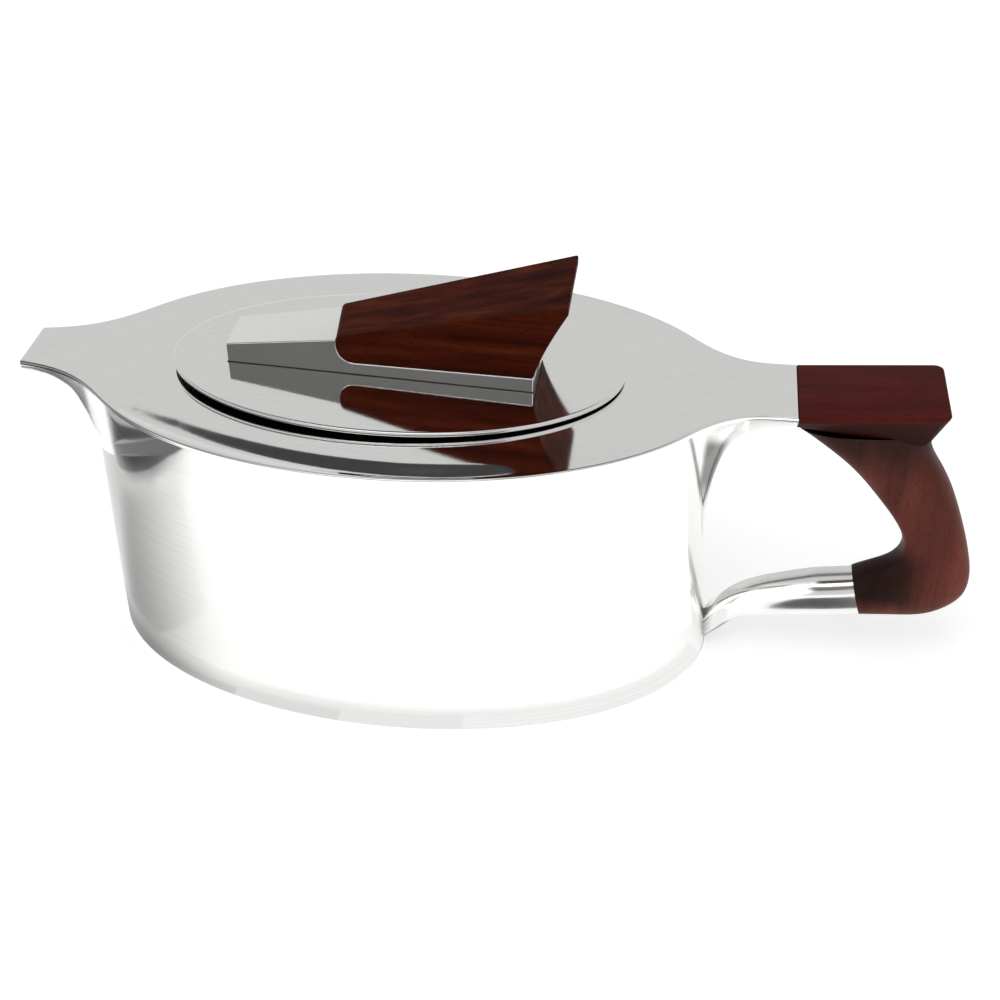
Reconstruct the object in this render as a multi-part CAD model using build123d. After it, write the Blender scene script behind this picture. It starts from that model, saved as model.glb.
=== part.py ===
from build123d import *
import os
from math import cos, radians, sin

# Silver teapot with a wooden handle and lid grip. Millimetres.
# Origin: centre of the flat base. +X points to the handle, -X to the spout, +Z is up.

# ---- body -------------------------------------------------------------------
BODY_HEIGHT = 91.2          # base to the top face of the deck
BASE_RX = 90.9              # outer half length of the wall at the base
BASE_RY = 50.4              # outer half width of the wall at the base
TOP_RX = 86.1               # outer half length of the wall at the deck
TOP_RY = 52.1               # outer half width of the wall at the deck
TOP_SHIFT = -2.8            # the wall leans this far towards the spout at the deck
WALL = 1.0                  # thickness of the silver wall
BASE_THICK = 1.2
BASE_EDGE_ROUND = 0.7

# ---- deck: the flat plate that closes the body and reaches out at both ends ---
DECK_THICK = 1.4
DECK_UNDER = BODY_HEIGHT - DECK_THICK
DECK_EDGE_ROUND = 0.3
DECK_MID_X = 1.4            # centre of the oval middle of the deck
DECK_RX = 89.9
DECK_RY = 52.7
TIP_X = -107.3              # end of the pouring lip
TIP_HALF = 9.3
TANG_X = 109.3              # end of the tongue that carries the handle
TANG_HALF = 13.2
SPOUT_JOIN = 147.5          # degrees round the oval where the lip's curve begins
TANG_JOIN = 33.5            # degrees round the oval where the tongue's curve begins

# ---- lid, its seat and its flange ---------------------------------------------
LID_RX = 63.4
LID_RY = 35.6
LID_THICK = 1.25
LID_TOP = BODY_HEIGHT + 2.4     # top of the lid plate at the middle
LID_RAKE = 0.52                 # degrees: the plate is a little higher at the spout end
SEAT_RX = 58.0                  # outside of the collar that the lid rests on
SEAT_RY = 30.4
SEAT_WALL = 1.2
SEAT_DROP = 4.5                 # how far the collar hangs below the deck
SEAT_GAP = 0.05                 # air between collar and lid plate
FLANGE_CLEARANCE = 0.6          # air between the collar and the lid's flange
FLANGE_WALL = 1.0
FLANGE_DEPTH = 6.0

# ---- lid grip -------------------------------------------------------------------
NOSE_X = -46.2              # thin end of the silver holder
NOSE_HALF = 7.3
TAIL_X = 39.4               # wide end of the silver holder
TAIL_HALF = 12.3
HOLDER_SHEET = 0.9
NOSE_HEIGHT = 5.9
HEEL_X = -14.6              # where the wood begins
HEEL_HEIGHT = 10.5
STRIP_HEIGHT = 4.4          # height of the silver strip under the wood
STRIP_HEEL_HEIGHT = 3.6
WOOD_HEEL_HEIGHT = 11.6
WOOD_TIP_X = 48.4
WOOD_TIP_HEIGHT = 27.9
WOOD_NOTCH = 4.6            # radius of the rounded corner of wood inside the silver
WOOD_HEEL_ROUND = 1.6       # how far the rounding at the top of the heel reaches back
WOOD_LEAN = 4.5             # degrees: the sides of the wood lean outwards as they rise
SCREW_R = 1.5
SCREW_HEAD_R = 2.9
SCREW_HEAD = 1.5
SCREW_REACH = 9.0           # how far a screw goes up into the wood
SCREW_SLOT = 0.8
SCREW_PLACES = (0.0, 28.0)

# ---- spout ------------------------------------------------------------------------
SHEET = 1.0                 # thickness of the spout and of the handle socket
STRAINER_THICK = 0.8
STRAINER_HALF = 33.0
STRAINER_LOW = 66.0
HOLE_R = 1.5
HOLE_PITCH = 5.2
HOLE_ROWS = 4
HOLE_COLUMNS = 8

# ---- handle -------------------------------------------------------------------------
HEAD_TOP_X = 147.2          # outer end of the wooden head
HEAD_TOP_Z = 93.9
HEAD_HALF = 13.4
HEAD_KEEL_X = 144.2
HEAD_KEEL_Z = 81.0          # underside of the head at its outer end
HEAD_ROOT_Z = 84.8          # underside of the head where it meets the silver
HEAD_EDGE = 1.3             # height of the slab edge round the head's top
HEAD_NECK_HALF = 8.6        # half width where the head's sides reach the neck
TENON_LONG = 13.0
TENON_HALF = 4.8
TENON_TALL = 4.6
PEG_R = 3.4
PEG_LONG = 13.0
PIN_R = 1.0
FIT_AIR = 0.02              # air round each pin and peg

ALONG_Y = Vector(0, 1, 0)


def body_solid(inset, low, high):
    """The oval body between two heights, with its wall moved in by inset."""
    faces = []
    for z in (low, high):
        share = z / BODY_HEIGHT
        rx = BASE_RX + (TOP_RX - BASE_RX) * share - inset
        ry = BASE_RY + (TOP_RY - BASE_RY) * share - inset
        faces.append(Pos(TOP_SHIFT * share, 0, z) * Ellipse(rx, ry))
    return loft(faces, ruled=True)


def oval_tube(rx, ry, wall, low, high, centre_x=0.0):
    """An upright oval ring."""
    outer = Pos(centre_x, 0, low) * extrude(Ellipse(rx, ry), high - low)
    inner = Pos(centre_x, 0, low - 1) * extrude(Ellipse(rx - wall, ry - wall), high - low + 2)
    return outer - inner


# Lip and tongue outlines of the deck, from the oval out to each end: (x, half width).
LIP_CURVE = [(-84.5, 18.7), (-96.0, 12.0)]
TONGUE_CURVE = [(86.5, 19.3), (97.0, 13.9)]


def deck_outline():
    """Half of the deck's outline, closed along the centre line, then mirrored."""
    turn = SPOUT_JOIN - TANG_JOIN
    oval = EllipticalCenterArc((DECK_MID_X, 0), DECK_RX, DECK_RY, start_angle=TANG_JOIN, arc_size=turn)
    lip = Spline(oval @ 1, *LIP_CURVE, (TIP_X, TIP_HALF), tangents=(oval % 1, (-1, -0.17)))
    tongue = Spline((TANG_X, TANG_HALF), *reversed(TONGUE_CURVE), oval @ 0, tangents=((-1, 0), oval % 0))
    ends = Polyline((TIP_X, TIP_HALF), (TIP_X, 0), (TANG_X, 0), (TANG_X, TANG_HALF))
    half = make_face(oval + lip + tongue + ends)
    return half + mirror(half, Plane.XZ)


# Each flare (spout or handle socket) is a fan of U-shaped ribs that share the Y direction.
# A rib: (x at the deck, half width there, keel x, keel z, shoulder, drop, nose).
# shoulder and drop place the first handle of the U's side, nose widens its bottom.
SPOUT_RIBS = [
    (-107.3, 9.2, -107.3, 84.0, 0.98, 0.55, 0.55),
    (-101.0, 10.4, -102.6, 82.9, 0.97, 0.52, 0.52),
    (-94.5, 12.5, -98.2, 80.9, 0.95, 0.50, 0.50),
    (-87.5, 16.5, -94.9, 77.9, 0.93, 0.46, 0.50),
    (-79.5, 23.0, -92.4, 73.8, 0.90, 0.42, 0.50),
    (-70.0, 31.2, -90.6, 69.8, 0.88, 0.38, 0.50),
    (-59.0, 38.4, -89.2, 67.0, 0.86, 0.34, 0.52),
    (-48.0, 43.4, -87.4, 65.0, 0.85, 0.33, 0.52),
]
SOCKET_RIBS = [
    (109.3, 13.2, 109.3, 81.0, 0.80, 0.42, 0.26),
    (104.0, 12.9, 103.0, 80.0, 0.80, 0.42, 0.26),
    (98.0, 13.6, 97.2, 77.2, 0.80, 0.40, 0.27),
    (92.5, 15.6, 92.4, 72.0, 0.76, 0.36, 0.28),
    (87.5, 18.6, 89.3, 63.0, 0.66, 0.34, 0.29),
    (83.5, 21.6, 87.6, 53.0, 0.56, 0.34, 0.28),
    (80.0, 24.0, 85.6, 45.0, 0.50, 0.34, 0.28),
]


def rib_face(rib, top_z=DECK_UNDER, inset=0.0, shift=0.0):
    """One closed U section. With an inset it is a cavity section, open above the deck's underside."""
    top_x, half_width, keel_x, keel_z, shoulder, drop, nose = rib
    top = Vector(top_x + shift, 0, top_z)
    down = Vector(keel_x + shift, 0, keel_z) - top
    plane = Plane(origin=top, x_dir=ALONG_Y, z_dir=ALONG_Y.cross(down))
    half = half_width - inset
    depth = down.length - inset
    left = Bezier((-half, 0), (-half * shoulder, depth * drop), (-half * nose, depth), (0, depth))
    right = Bezier((0, depth), (half * nose, depth), (half * shoulder, depth * drop), (half, 0))
    above = 2 * inset
    if above:
        close = Polyline((half, 0), (half, -above), (-half, -above), (-half, 0))
    else:
        close = Line((half, 0), (-half, 0))
    return plane * make_face(left + right + close)


def flare(ribs, outward):
    """A hollow flare and its cavity. outward is the sign of X at its open end."""
    skin = loft([rib_face(rib) for rib in ribs])
    mouth = rib_face(ribs[0], inset=SHEET, shift=2.0 * outward)
    cavity = loft([mouth] + [rib_face(rib, inset=SHEET) for rib in ribs])
    return skin, cavity


def make_spout_beak():
    skin, cavity = flare(SPOUT_RIBS, -1)
    return skin - cavity - body_solid(0, 40, BODY_HEIGHT)


def make_upper_socket():
    skin, cavity = flare(SOCKET_RIBS, 1)
    shell = skin - cavity - body_solid(0, 30, BODY_HEIGHT)
    return shell - upper_pin_bore(PIN_R + FIT_AIR)


def make_body_shell():
    wall = body_solid(0, BASE_THICK, DECK_UNDER) - body_solid(WALL, 0, BODY_HEIGHT)
    cavity = flare(SPOUT_RIBS, -1)[1]
    return wall - cavity


def make_base_plate():
    plate = extrude(Ellipse(BASE_RX, BASE_RY), BASE_THICK)
    lowest = plate.edges().group_by(Axis.Z)[0]
    return fillet(lowest, BASE_EDGE_ROUND)


def make_strainer_plate():
    """A pierced strip of sheet against the inside of the wall, across the spout's throat."""
    low, high = STRAINER_LOW, DECK_UNDER
    layer = body_solid(WALL, low, high) - body_solid(WALL + STRAINER_THICK, low - 1, high + 1)
    window = Pos(-BASE_RX, 0, (low + high) / 2) * Box(BASE_RX, 2 * STRAINER_HALF, high - low)
    plate = layer & window
    return plate - strainer_holes()


def strainer_holes():
    """Staggered rows of round holes along X."""
    row_step = HOLE_PITCH * sin(radians(60))
    lowest = DECK_UNDER - 4.0 - row_step * (HOLE_ROWS - 1)
    holes = []
    for row in range(HOLE_ROWS):
        count = HOLE_COLUMNS - row % 2
        for column in range(count):
            y = (column - (count - 1) / 2) * HOLE_PITCH
            z = lowest + row * row_step
            holes.append(Pos(-BASE_RX + 12, y, z) * Rot(0, 90, 0) * Cylinder(HOLE_R, 30))
    return Part() + holes


def make_top_deck():
    plate = Pos(0, 0, DECK_UNDER) * extrude(deck_outline(), DECK_THICK)
    rim = plate.edges().group_by(Axis.Z)[-1]
    plate = fillet(rim, DECK_EDGE_ROUND)
    return plate - Pos(0, 0, DECK_UNDER - 1) * extrude(Ellipse(SEAT_RX, SEAT_RY), DECK_THICK + 2)


# ---- lid frame: everything on the lid is drawn flat, then tipped by the rake --------
LID_FRAME = Pos(0, 0, LID_TOP) * Rot(0, LID_RAKE, 0)


def make_lid_collar():
    """The upright collar round the lid opening, cut to the lid's rake on top."""
    ring = oval_tube(SEAT_RX, SEAT_RY, SEAT_WALL, DECK_UNDER - SEAT_DROP, LID_TOP + 3)
    above = LID_FRAME * Pos(0, 0, -LID_THICK - SEAT_GAP + 10) * Box(200, 200, 20)
    return ring - above


def make_lid_plate():
    plate = Pos(0, 0, -LID_THICK) * extrude(Ellipse(LID_RX, LID_RY), LID_THICK)
    plate = fillet(plate.edges(), 0.25)
    return LID_FRAME * (plate - screw_bores())


def make_lid_flange():
    rx = SEAT_RX - SEAT_WALL - FLANGE_CLEARANCE
    ry = SEAT_RY - SEAT_WALL - FLANGE_CLEARANCE
    return LID_FRAME * oval_tube(rx, ry, FLANGE_WALL, -LID_THICK - FLANGE_DEPTH, -LID_THICK)


def wedge_plan(inset, tail_x):
    """Plan of the lid grip: a long wedge, narrow at the nose, wider at the tail."""
    slope = (TAIL_HALF - NOSE_HALF) / (TAIL_X - NOSE_X)
    nose_x = NOSE_X + inset
    nose_half = NOSE_HALF + slope * inset - inset
    tail_half = NOSE_HALF + slope * (tail_x - NOSE_X) - inset
    corners = [(nose_x, -nose_half), (tail_x, -tail_half), (tail_x, tail_half), (nose_x, nose_half)]
    return make_face(Polyline(*corners, close=True))


def wood_profile():
    """Side view of the wood above the silver: x along the lid, y is height."""
    slope = (WOOD_TIP_HEIGHT - WOOD_HEEL_HEIGHT) / (WOOD_TIP_X - HEEL_X)
    heel_top = (HEEL_X + WOOD_HEEL_ROUND, WOOD_HEEL_HEIGHT + WOOD_HEEL_ROUND * slope)
    heel_side = (HEEL_X, WOOD_HEEL_HEIGHT - WOOD_HEEL_ROUND)
    heel_mid = (HEEL_X + 0.3 * WOOD_HEEL_ROUND, WOOD_HEEL_HEIGHT - 0.1 * WOOD_HEEL_ROUND)
    notch_side = (HEEL_X, STRIP_HEEL_HEIGHT + WOOD_NOTCH)
    notch_mid = (HEEL_X + 0.3 * WOOD_NOTCH, STRIP_HEEL_HEIGHT + 0.3 * WOOD_NOTCH)
    notch_low = (HEEL_X + WOOD_NOTCH, STRIP_HEEL_HEIGHT)
    tail_low = (TAIL_X + 0.1, STRIP_HEIGHT)
    tail_mid = (TAIL_X + 3.1, STRIP_HEIGHT + 9.0)
    tip = (WOOD_TIP_X, WOOD_TIP_HEIGHT)
    edges = Line(heel_top, tip)
    edges += ThreePointArc(heel_side, heel_mid, heel_top)
    edges += Line(notch_side, heel_side)
    edges += ThreePointArc(notch_low, notch_mid, notch_side)
    edges += Line(notch_low, tail_low)
    edges += ThreePointArc(tail_low, tail_mid, (WOOD_TIP_X, WOOD_TIP_HEIGHT - 2.4))
    edges += Line((WOOD_TIP_X, WOOD_TIP_HEIGHT - 2.4), tip)
    return make_face(edges)


def wood_block():
    """The wood's outside above the silver: wedge-shaped in plan, its sides leaning outwards above the strips."""
    plan = wedge_plan(0, WOOD_TIP_X + 5)
    upright = extrude(plan, STRIP_HEIGHT)
    leaning = Pos(0, 0, STRIP_HEIGHT) * extrude(plan, 50, taper=-WOOD_LEAN)
    side = extrude(Plane.XZ * wood_profile(), 30, both=True)
    return side & (upright + leaning)


def make_finial_holder():
    """A folded silver box: closed nose, sloping top, low strips along the wood."""
    rise = (HEEL_HEIGHT - NOSE_HEIGHT) / (HEEL_X - NOSE_X)
    outer = extrude(wedge_plan(0, TAIL_X), 30)
    inner = extrude(wedge_plan(HOLDER_SHEET, TAIL_X - HOLDER_SHEET), 30)
    top_line = [(NOSE_X - 1, NOSE_HEIGHT - rise), (HEEL_X, HEEL_HEIGHT)]
    notch_x = HEEL_X + WOOD_NOTCH + 1
    cut = Polyline(*top_line, (notch_x, HEEL_HEIGHT), (notch_x, 40), (NOSE_X - 1, 40), close=True)
    above_top = extrude(Plane.XZ * make_face(cut), 30, both=True)
    sides = outer - inner - above_top - wood_block() - tail_space(STRIP_HEIGHT)
    cover = outer - above_top - Pos(0, 0, -HOLDER_SHEET) * (outer - above_top)
    cover = cover - wood_block() - tail_space(STRIP_HEIGHT)
    cover = cover - Pos(HEEL_X + 50, 0, 0) * Box(100, 100, 200)
    return LID_FRAME * (sides + cover)


def tail_space(height):
    """Everything above the strips, from the heel to the tail."""
    start = HEEL_X + WOOD_NOTCH
    return Pos(start + 50, 0, height + 20) * Box(100, 100, 40)


def make_finial_grip():
    """The wooden grip, with a root between the silver strips for the screws."""
    root_plan = wedge_plan(HOLDER_SHEET + FIT_AIR, TAIL_X - HOLDER_SHEET - FIT_AIR)
    root = extrude(root_plan, STRIP_HEIGHT + 0.5) & Pos(HEEL_X + 51, 0, 0) * Box(100, 100, 100)
    return LID_FRAME * (wood_block() + root - screw_bores())


def screw_bores():
    bores = [Pos(x, 0, 0) * Cylinder(SCREW_R + FIT_AIR, 2 * SCREW_REACH + 0.2) for x in SCREW_PLACES]
    return Part() + bores


def make_finial_screws():
    """Slotted screws from under the lid plate into the wood."""
    screws = []
    for x in SCREW_PLACES:
        length = SCREW_REACH + LID_THICK
        shank = Pos(x, 0, SCREW_REACH - length / 2) * Cylinder(SCREW_R, length)
        head = Pos(x, 0, -LID_THICK - SCREW_HEAD / 2) * Cylinder(SCREW_HEAD_R, SCREW_HEAD)
        rim = head.edges().group_by(Axis.Z)[0]
        head = fillet(rim, 0.5)
        slot = Pos(x, 0, -LID_THICK - SCREW_HEAD) * Box(3 * SCREW_HEAD_R, SCREW_SLOT, SCREW_HEAD)
        screws.append(shank + head - slot)
    return LID_FRAME * (Part() + screws)


# Side outline of the wooden grip, x and z: the outer edge going down, the inner edge going back up.
GRIP_OUTER = [
    (145.6, 84.0),
    (145.9, 78.2),
    (151.1, 67.9),
    (156.5, 56.5),
    (161.6, 41.5),
    (163.2, 32.8),
    (162.3, 26.6),
    (159.0, 21.9),
    (153.2, 18.4),
    (144.5, 17.0),
    (134.6, 16.5),
]
GRIP_INNER = [
    (131.0, 30.4),
    (136.8, 33.8),
    (141.2, 37.0),
    (143.1, 40.6),
    (142.6, 46.4),
    (140.0, 51.8),
    (133.4, 60.8),
    (125.0, 70.4),
    (117.0, 77.2),
    (109.5, 82.4),
]
# Half thickness of the grip at rising heights: y, z.
GRIP_HALF = [(6.5, 12.0), (6.9, 30.0), (7.2, 43.0), (7.6, 58.0), (8.6, 74.0), (9.6, 86.0)]
GRIP_EDGE_ROUND = 5.0
GRIP_END_WIDE = 13.2

# Strut centre line from inside the wall to the lower joint: x, z, radius, direction in degrees.
STRUT_SECTIONS = [
    (88.6, 2.6, 3.0, 68),
    (92.3, 8.4, 3.2, 60),
    (95.4, 12.8, 3.5, 48),
    (100.2, 16.6, 4.0, 26),
    (106.0, 18.5, 4.7, 13),
    (113.0, 19.9, 5.4, 11),
    (122.0, 21.7, 6.0, 12),
]


def oval_section(centre, up, tall, wide):
    """A rounded rectangle standing across the XZ plane: tall along up, wide along Y."""
    plane = Plane(origin=centre, x_dir=ALONG_Y, z_dir=ALONG_Y.cross(up))
    return plane * RectangleRounded(wide, tall, 0.43 * min(tall, wide))


def strut_section(section):
    x, z, radius, angle = section
    up = Vector(-sin(radians(angle)), 0, cos(radians(angle)))
    return oval_section(Vector(x, 0, z), up, 2 * radius, 2 * radius)


def lower_joint():
    """Plane of the joint between strut and wood, facing along the strut into the wood."""
    low = Vector(GRIP_OUTER[-1][0], 0, GRIP_OUTER[-1][1])
    high = Vector(GRIP_INNER[0][0], 0, GRIP_INNER[0][1])
    return Plane(origin=(low + high) / 2, x_dir=ALONG_Y, z_dir=ALONG_Y.cross(high - low))


def lower_peg(radius, root=0):
    """The round peg of wood inside the strut's end, with a root reaching into the grip."""
    return lower_joint() * Pos(0, 0, (root - PEG_LONG) / 2) * Cylinder(radius, PEG_LONG + root)


def strut_solid():
    low = Vector(GRIP_OUTER[-1][0], 0, GRIP_OUTER[-1][1])
    high = Vector(GRIP_INNER[0][0], 0, GRIP_INNER[0][1])
    end = oval_section((low + high) / 2, high - low, (high - low).length, GRIP_END_WIDE)
    sections = [strut_section(section) for section in STRUT_SECTIONS]
    return loft(sections + [end])


def make_lower_strut():
    strut = strut_solid() - body_solid(0, 0, BODY_HEIGHT)
    return strut - lower_peg(PEG_R + FIT_AIR) - lower_pin_bore(PIN_R + FIT_AIR)


def upper_tenon():
    low = DECK_UNDER - 0.6 - TENON_TALL
    return Pos(TANG_X - TENON_LONG / 2, 0, low + TENON_TALL / 2) * Box(TENON_LONG, 2 * TENON_HALF, TENON_TALL)


def on_side(points):
    return [(x, 0, z) for x, z in points]


def grip_leg():
    """The grip below the head: its side outline crossed with its front outline, long edges rounded."""
    outer = Spline(*on_side(GRIP_OUTER))
    inner = Spline(*on_side(GRIP_INNER))
    side = make_face([outer, Line(outer @ 1, inner @ 0), inner, Line(inner @ 1, outer @ 0)])
    right = Spline(*[(0, y, z) for y, z in GRIP_HALF])
    left = Spline(*[(0, -y, z) for y, z in reversed(GRIP_HALF)])
    front = make_face([right, Line(right @ 1, left @ 0), left, Line(left @ 1, right @ 0)])
    slab = extrude(side, amount=20, both=True, dir=(0, 1, 0))
    leg = slab & Pos(90, 0, 0) * extrude(front, amount=100, dir=(1, 0, 0))
    long_edges = [edge for edge in leg.edges() if edge.length > 60]
    return fillet(long_edges, GRIP_EDGE_ROUND)


def head_section(top_x, top_z, keel_x, keel_z, half_width):
    """A slab edge above sides that slope in to the neck, standing across the XZ plane."""
    top = Vector(top_x, 0, top_z)
    down = Vector(keel_x, 0, keel_z) - top
    plane = Plane(origin=top, x_dir=ALONG_Y, z_dir=ALONG_Y.cross(down))
    right = [(half_width, 0), (half_width, HEAD_EDGE), (HEAD_NECK_HALF, down.length)]
    left = [(-y, depth) for y, depth in reversed(right)]
    return plane * make_face(Polyline(*right, *left, close=True))


def make_handle_grip():
    left_end = head_section(TANG_X, BODY_HEIGHT, TANG_X, HEAD_ROOT_Z, HEAD_HALF - 0.2)
    right_end = head_section(HEAD_TOP_X, HEAD_TOP_Z, HEAD_KEEL_X, HEAD_KEEL_Z, HEAD_HALF)
    head = loft([left_end, right_end])
    wood = grip_leg() + lower_peg(PEG_R, 5) + head + upper_tenon()
    return wood - upper_pin_bore(PIN_R + FIT_AIR) - lower_pin_bore(PIN_R + FIT_AIR)


UPPER_PIN_X = TANG_X - TENON_LONG / 2


def upper_pin_bore(radius):
    low = HEAD_KEEL_Z - 6
    high = DECK_UNDER - 2.0
    return Pos(UPPER_PIN_X, 0, (low + high) / 2) * Cylinder(radius, high - low)


def lower_pin_bore(radius):
    return lower_joint() * Pos(0, 0, -PEG_LONG / 2) * Rot(0, 90, 0) * Cylinder(radius, 30)


def make_upper_handle_pin():
    skin = flare(SOCKET_RIBS, 1)[0]
    return upper_pin_bore(PIN_R) & skin


def make_lower_handle_pin():
    return lower_pin_bore(PIN_R) & strut_solid()


NODES = {
    "body_shell": make_body_shell,
    "base_plate": make_base_plate,
    "top_deck": make_top_deck,
    "lid_collar": make_lid_collar,
    "spout_beak": make_spout_beak,
    "strainer_plate": make_strainer_plate,
    "upper_socket": make_upper_socket,
    "lower_strut": make_lower_strut,
    "handle_grip": make_handle_grip,
    "upper_handle_pin": make_upper_handle_pin,
    "lower_handle_pin": make_lower_handle_pin,
    "lid_plate": make_lid_plate,
    "lid_flange": make_lid_flange,
    "finial_holder": make_finial_holder,
    "finial_grip": make_finial_grip,
    "finial_screws": make_finial_screws,
}


def main():
    os.makedirs("parts", exist_ok=True)
    for name, make in NODES.items():
        part = make()
        print(name, len(part.solids()), "solid(s), volume", round(part.volume, 1))
        export_step(part, f"parts/{name}.step")


main()
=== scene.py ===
import bpy
import bmesh
import math
import numpy as np
from mathutils import Matrix, Vector


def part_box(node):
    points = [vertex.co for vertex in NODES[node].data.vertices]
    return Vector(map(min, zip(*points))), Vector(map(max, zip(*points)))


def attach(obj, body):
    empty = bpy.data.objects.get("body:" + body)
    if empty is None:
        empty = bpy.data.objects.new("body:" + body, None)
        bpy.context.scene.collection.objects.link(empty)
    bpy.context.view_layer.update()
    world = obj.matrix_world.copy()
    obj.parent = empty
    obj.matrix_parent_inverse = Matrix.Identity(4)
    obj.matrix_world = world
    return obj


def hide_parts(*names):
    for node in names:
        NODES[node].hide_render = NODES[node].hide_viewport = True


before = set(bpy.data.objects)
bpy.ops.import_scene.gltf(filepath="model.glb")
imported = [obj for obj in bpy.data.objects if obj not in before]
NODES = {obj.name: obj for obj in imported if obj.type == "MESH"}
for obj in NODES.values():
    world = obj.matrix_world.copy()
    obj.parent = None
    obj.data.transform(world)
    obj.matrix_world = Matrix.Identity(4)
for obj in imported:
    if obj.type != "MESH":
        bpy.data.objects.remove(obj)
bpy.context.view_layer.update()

MM = 0.001
# Driving sizes of the pot, in millimetres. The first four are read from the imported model.
DECK_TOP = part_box("top_deck")[1].z / MM
DECK_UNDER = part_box("top_deck")[0].z / MM
TIP_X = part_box("top_deck")[0].x / MM
TANG_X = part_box("top_deck")[1].x / MM
BASE_RX, BASE_RY = 90.9, 50.4                       # outside of the wall at its foot
TOP_RX, TOP_RY, TOP_SHIFT = 86.1, 51.9, -2.8        # outside at the deck, and its shift along x
WALL = 1.0
SEAT_RX, SEAT_RY = 58.0, 30.4                       # the opening under the lid
LID_RX, LID_RY, LID_THICK = 63.4, 35.6, 1.25
LID_TOP = DECK_TOP + 2.4
LID_RAKE = math.radians(0.52)

# ---- camera ------------------------------------------------------------------------
CAMERA_PLACE = (0.07765, -0.35352, 0.31986)
CAMERA_AZIMUTH = math.radians(10.7067)
CAMERA_LIFT = math.radians(36.9733)
CAMERA_ROLL = math.radians(-2.2931)
CAMERA_LENS = 55.203
CAMERA_SHIFT = (0.06, -0.01)


def make_camera():
    az, lift = CAMERA_AZIMUTH, CAMERA_LIFT
    back = Vector((math.sin(az) * math.cos(lift), -math.cos(az) * math.cos(lift), math.sin(lift)))
    right = Vector((math.cos(az), math.sin(az), 0.0))
    up = back.cross(right)
    side = math.cos(CAMERA_ROLL) * right + math.sin(CAMERA_ROLL) * up
    top = -math.sin(CAMERA_ROLL) * right + math.cos(CAMERA_ROLL) * up
    turn = Matrix((side, top, back)).transposed().to_4x4()
    lens = bpy.data.cameras.new("camera")
    lens.sensor_width = 36.0
    lens.lens = CAMERA_LENS
    lens.shift_x, lens.shift_y = CAMERA_SHIFT
    lens.clip_start = 0.01
    lens.clip_end = 50.0
    camera = bpy.data.objects.new("camera", lens)
    camera.matrix_world = Matrix.Translation(CAMERA_PLACE) @ turn
    bpy.context.scene.collection.objects.link(camera)
    bpy.context.scene.camera = camera


# ---- shader helpers ------------------------------------------------------------------
def new_material(name):
    material = bpy.data.materials.new(name)
    material.use_nodes = True
    material.node_tree.nodes.clear()
    return material, material.node_tree


def add_node(tree, kind, inputs=None, **settings):
    """A shader node with its settings, and with numbers or other nodes' outputs on its inputs."""
    node = tree.nodes.new(kind)
    for key, value in settings.items():
        setattr(node, key, value)
    for key, value in (inputs or {}).items():
        if isinstance(value, bpy.types.NodeSocket):
            tree.links.new(value, node.inputs[key])
        else:
            node.inputs[key].default_value = value
    return node


def close_tree(tree, shader):
    out = add_node(tree, "ShaderNodeOutputMaterial")
    tree.links.new(shader.outputs[0], out.inputs[0])


def stretched_noise(tree, scale, detail=4.0, rough=0.5, twist=0.0):
    """Noise in the object's own space, with its own scale along each axis."""
    place = add_node(tree, "ShaderNodeTexCoord")
    stretch = add_node(tree, "ShaderNodeMapping", {"Vector": place.outputs["Object"], "Scale": scale})
    return add_node(tree, "ShaderNodeTexNoise", {
        "Vector": stretch.outputs[0], "Scale": 1.0,
        "Detail": detail, "Roughness": rough, "Distortion": twist})


def ramp(tree, factor, *stops):
    """A colour ramp; each stop is (position, grey level or colour)."""
    node = add_node(tree, "ShaderNodeValToRGB", {"Fac": factor})
    marks = node.color_ramp.elements
    while len(marks) < len(stops):
        marks.new(0.5)
    for mark, (place, value) in zip(marks, stops):
        colour = (value,) * 3 if isinstance(value, (int, float)) else value
        mark.position = place
        mark.color = (*colour, 1)
    return node.outputs[0]


def multiplied(tree, first, second):
    mix = add_node(tree, "ShaderNodeMix", {0: 1.0}, data_type="RGBA", blend_type="MULTIPLY")
    tree.links.new(first, mix.inputs[6])
    tree.links.new(second, mix.inputs[7])
    return mix.outputs[2]


def times_tone(tree, colour):
    """The colour times the piece's painted light and shade."""
    painted_light = add_node(tree, "ShaderNodeAttribute", attribute_name="painted_light")
    return multiplied(tree, colour, painted_light.outputs["Color"])


# ---- materials -------------------------------------------------------------------------
SILVER = (0.955, 0.95, 0.935)


def silver(name, rough, brush_scale, brush_depth, colour=SILVER, cloud=0.04, brush_grey=0.95, toned=True):
    """Polished sheet: fine lines left by the cloth, faint clouding, and painted shade and reflections where
    the piece's painted light is low.
    """
    material, tree = new_material(name)
    lines = stretched_noise(tree, brush_scale, 5.0, 0.6)
    waves = stretched_noise(tree, (35, 35, 35), 1.0)
    haze = stretched_noise(tree, (60, 60, 60), 4.0)
    fine = add_node(tree, "ShaderNodeBump", {
        "Height": lines.outputs["Fac"], "Strength": 1.0, "Distance": brush_depth})
    soft = add_node(tree, "ShaderNodeBump", {
        "Height": waves.outputs["Fac"], "Strength": 1.0, "Distance": 0.00002, "Normal": fine.outputs[0]})
    gloss = ramp(tree, haze.outputs["Fac"], (0.3, max(rough - cloud, 0.01)), (0.7, rough + cloud))
    brushed = ramp(tree, lines.outputs["Fac"], (0.35, tuple(c * brush_grey for c in colour)), (0.6, colour))
    shader = add_node(tree, "ShaderNodeBsdfPrincipled", {
        "Base Color": times_tone(tree, brushed) if toned else brushed,
        "Metallic": 1.0, "Roughness": gloss, "Normal": soft.outputs[0]})
    close_tree(tree, shader)
    return material


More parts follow.
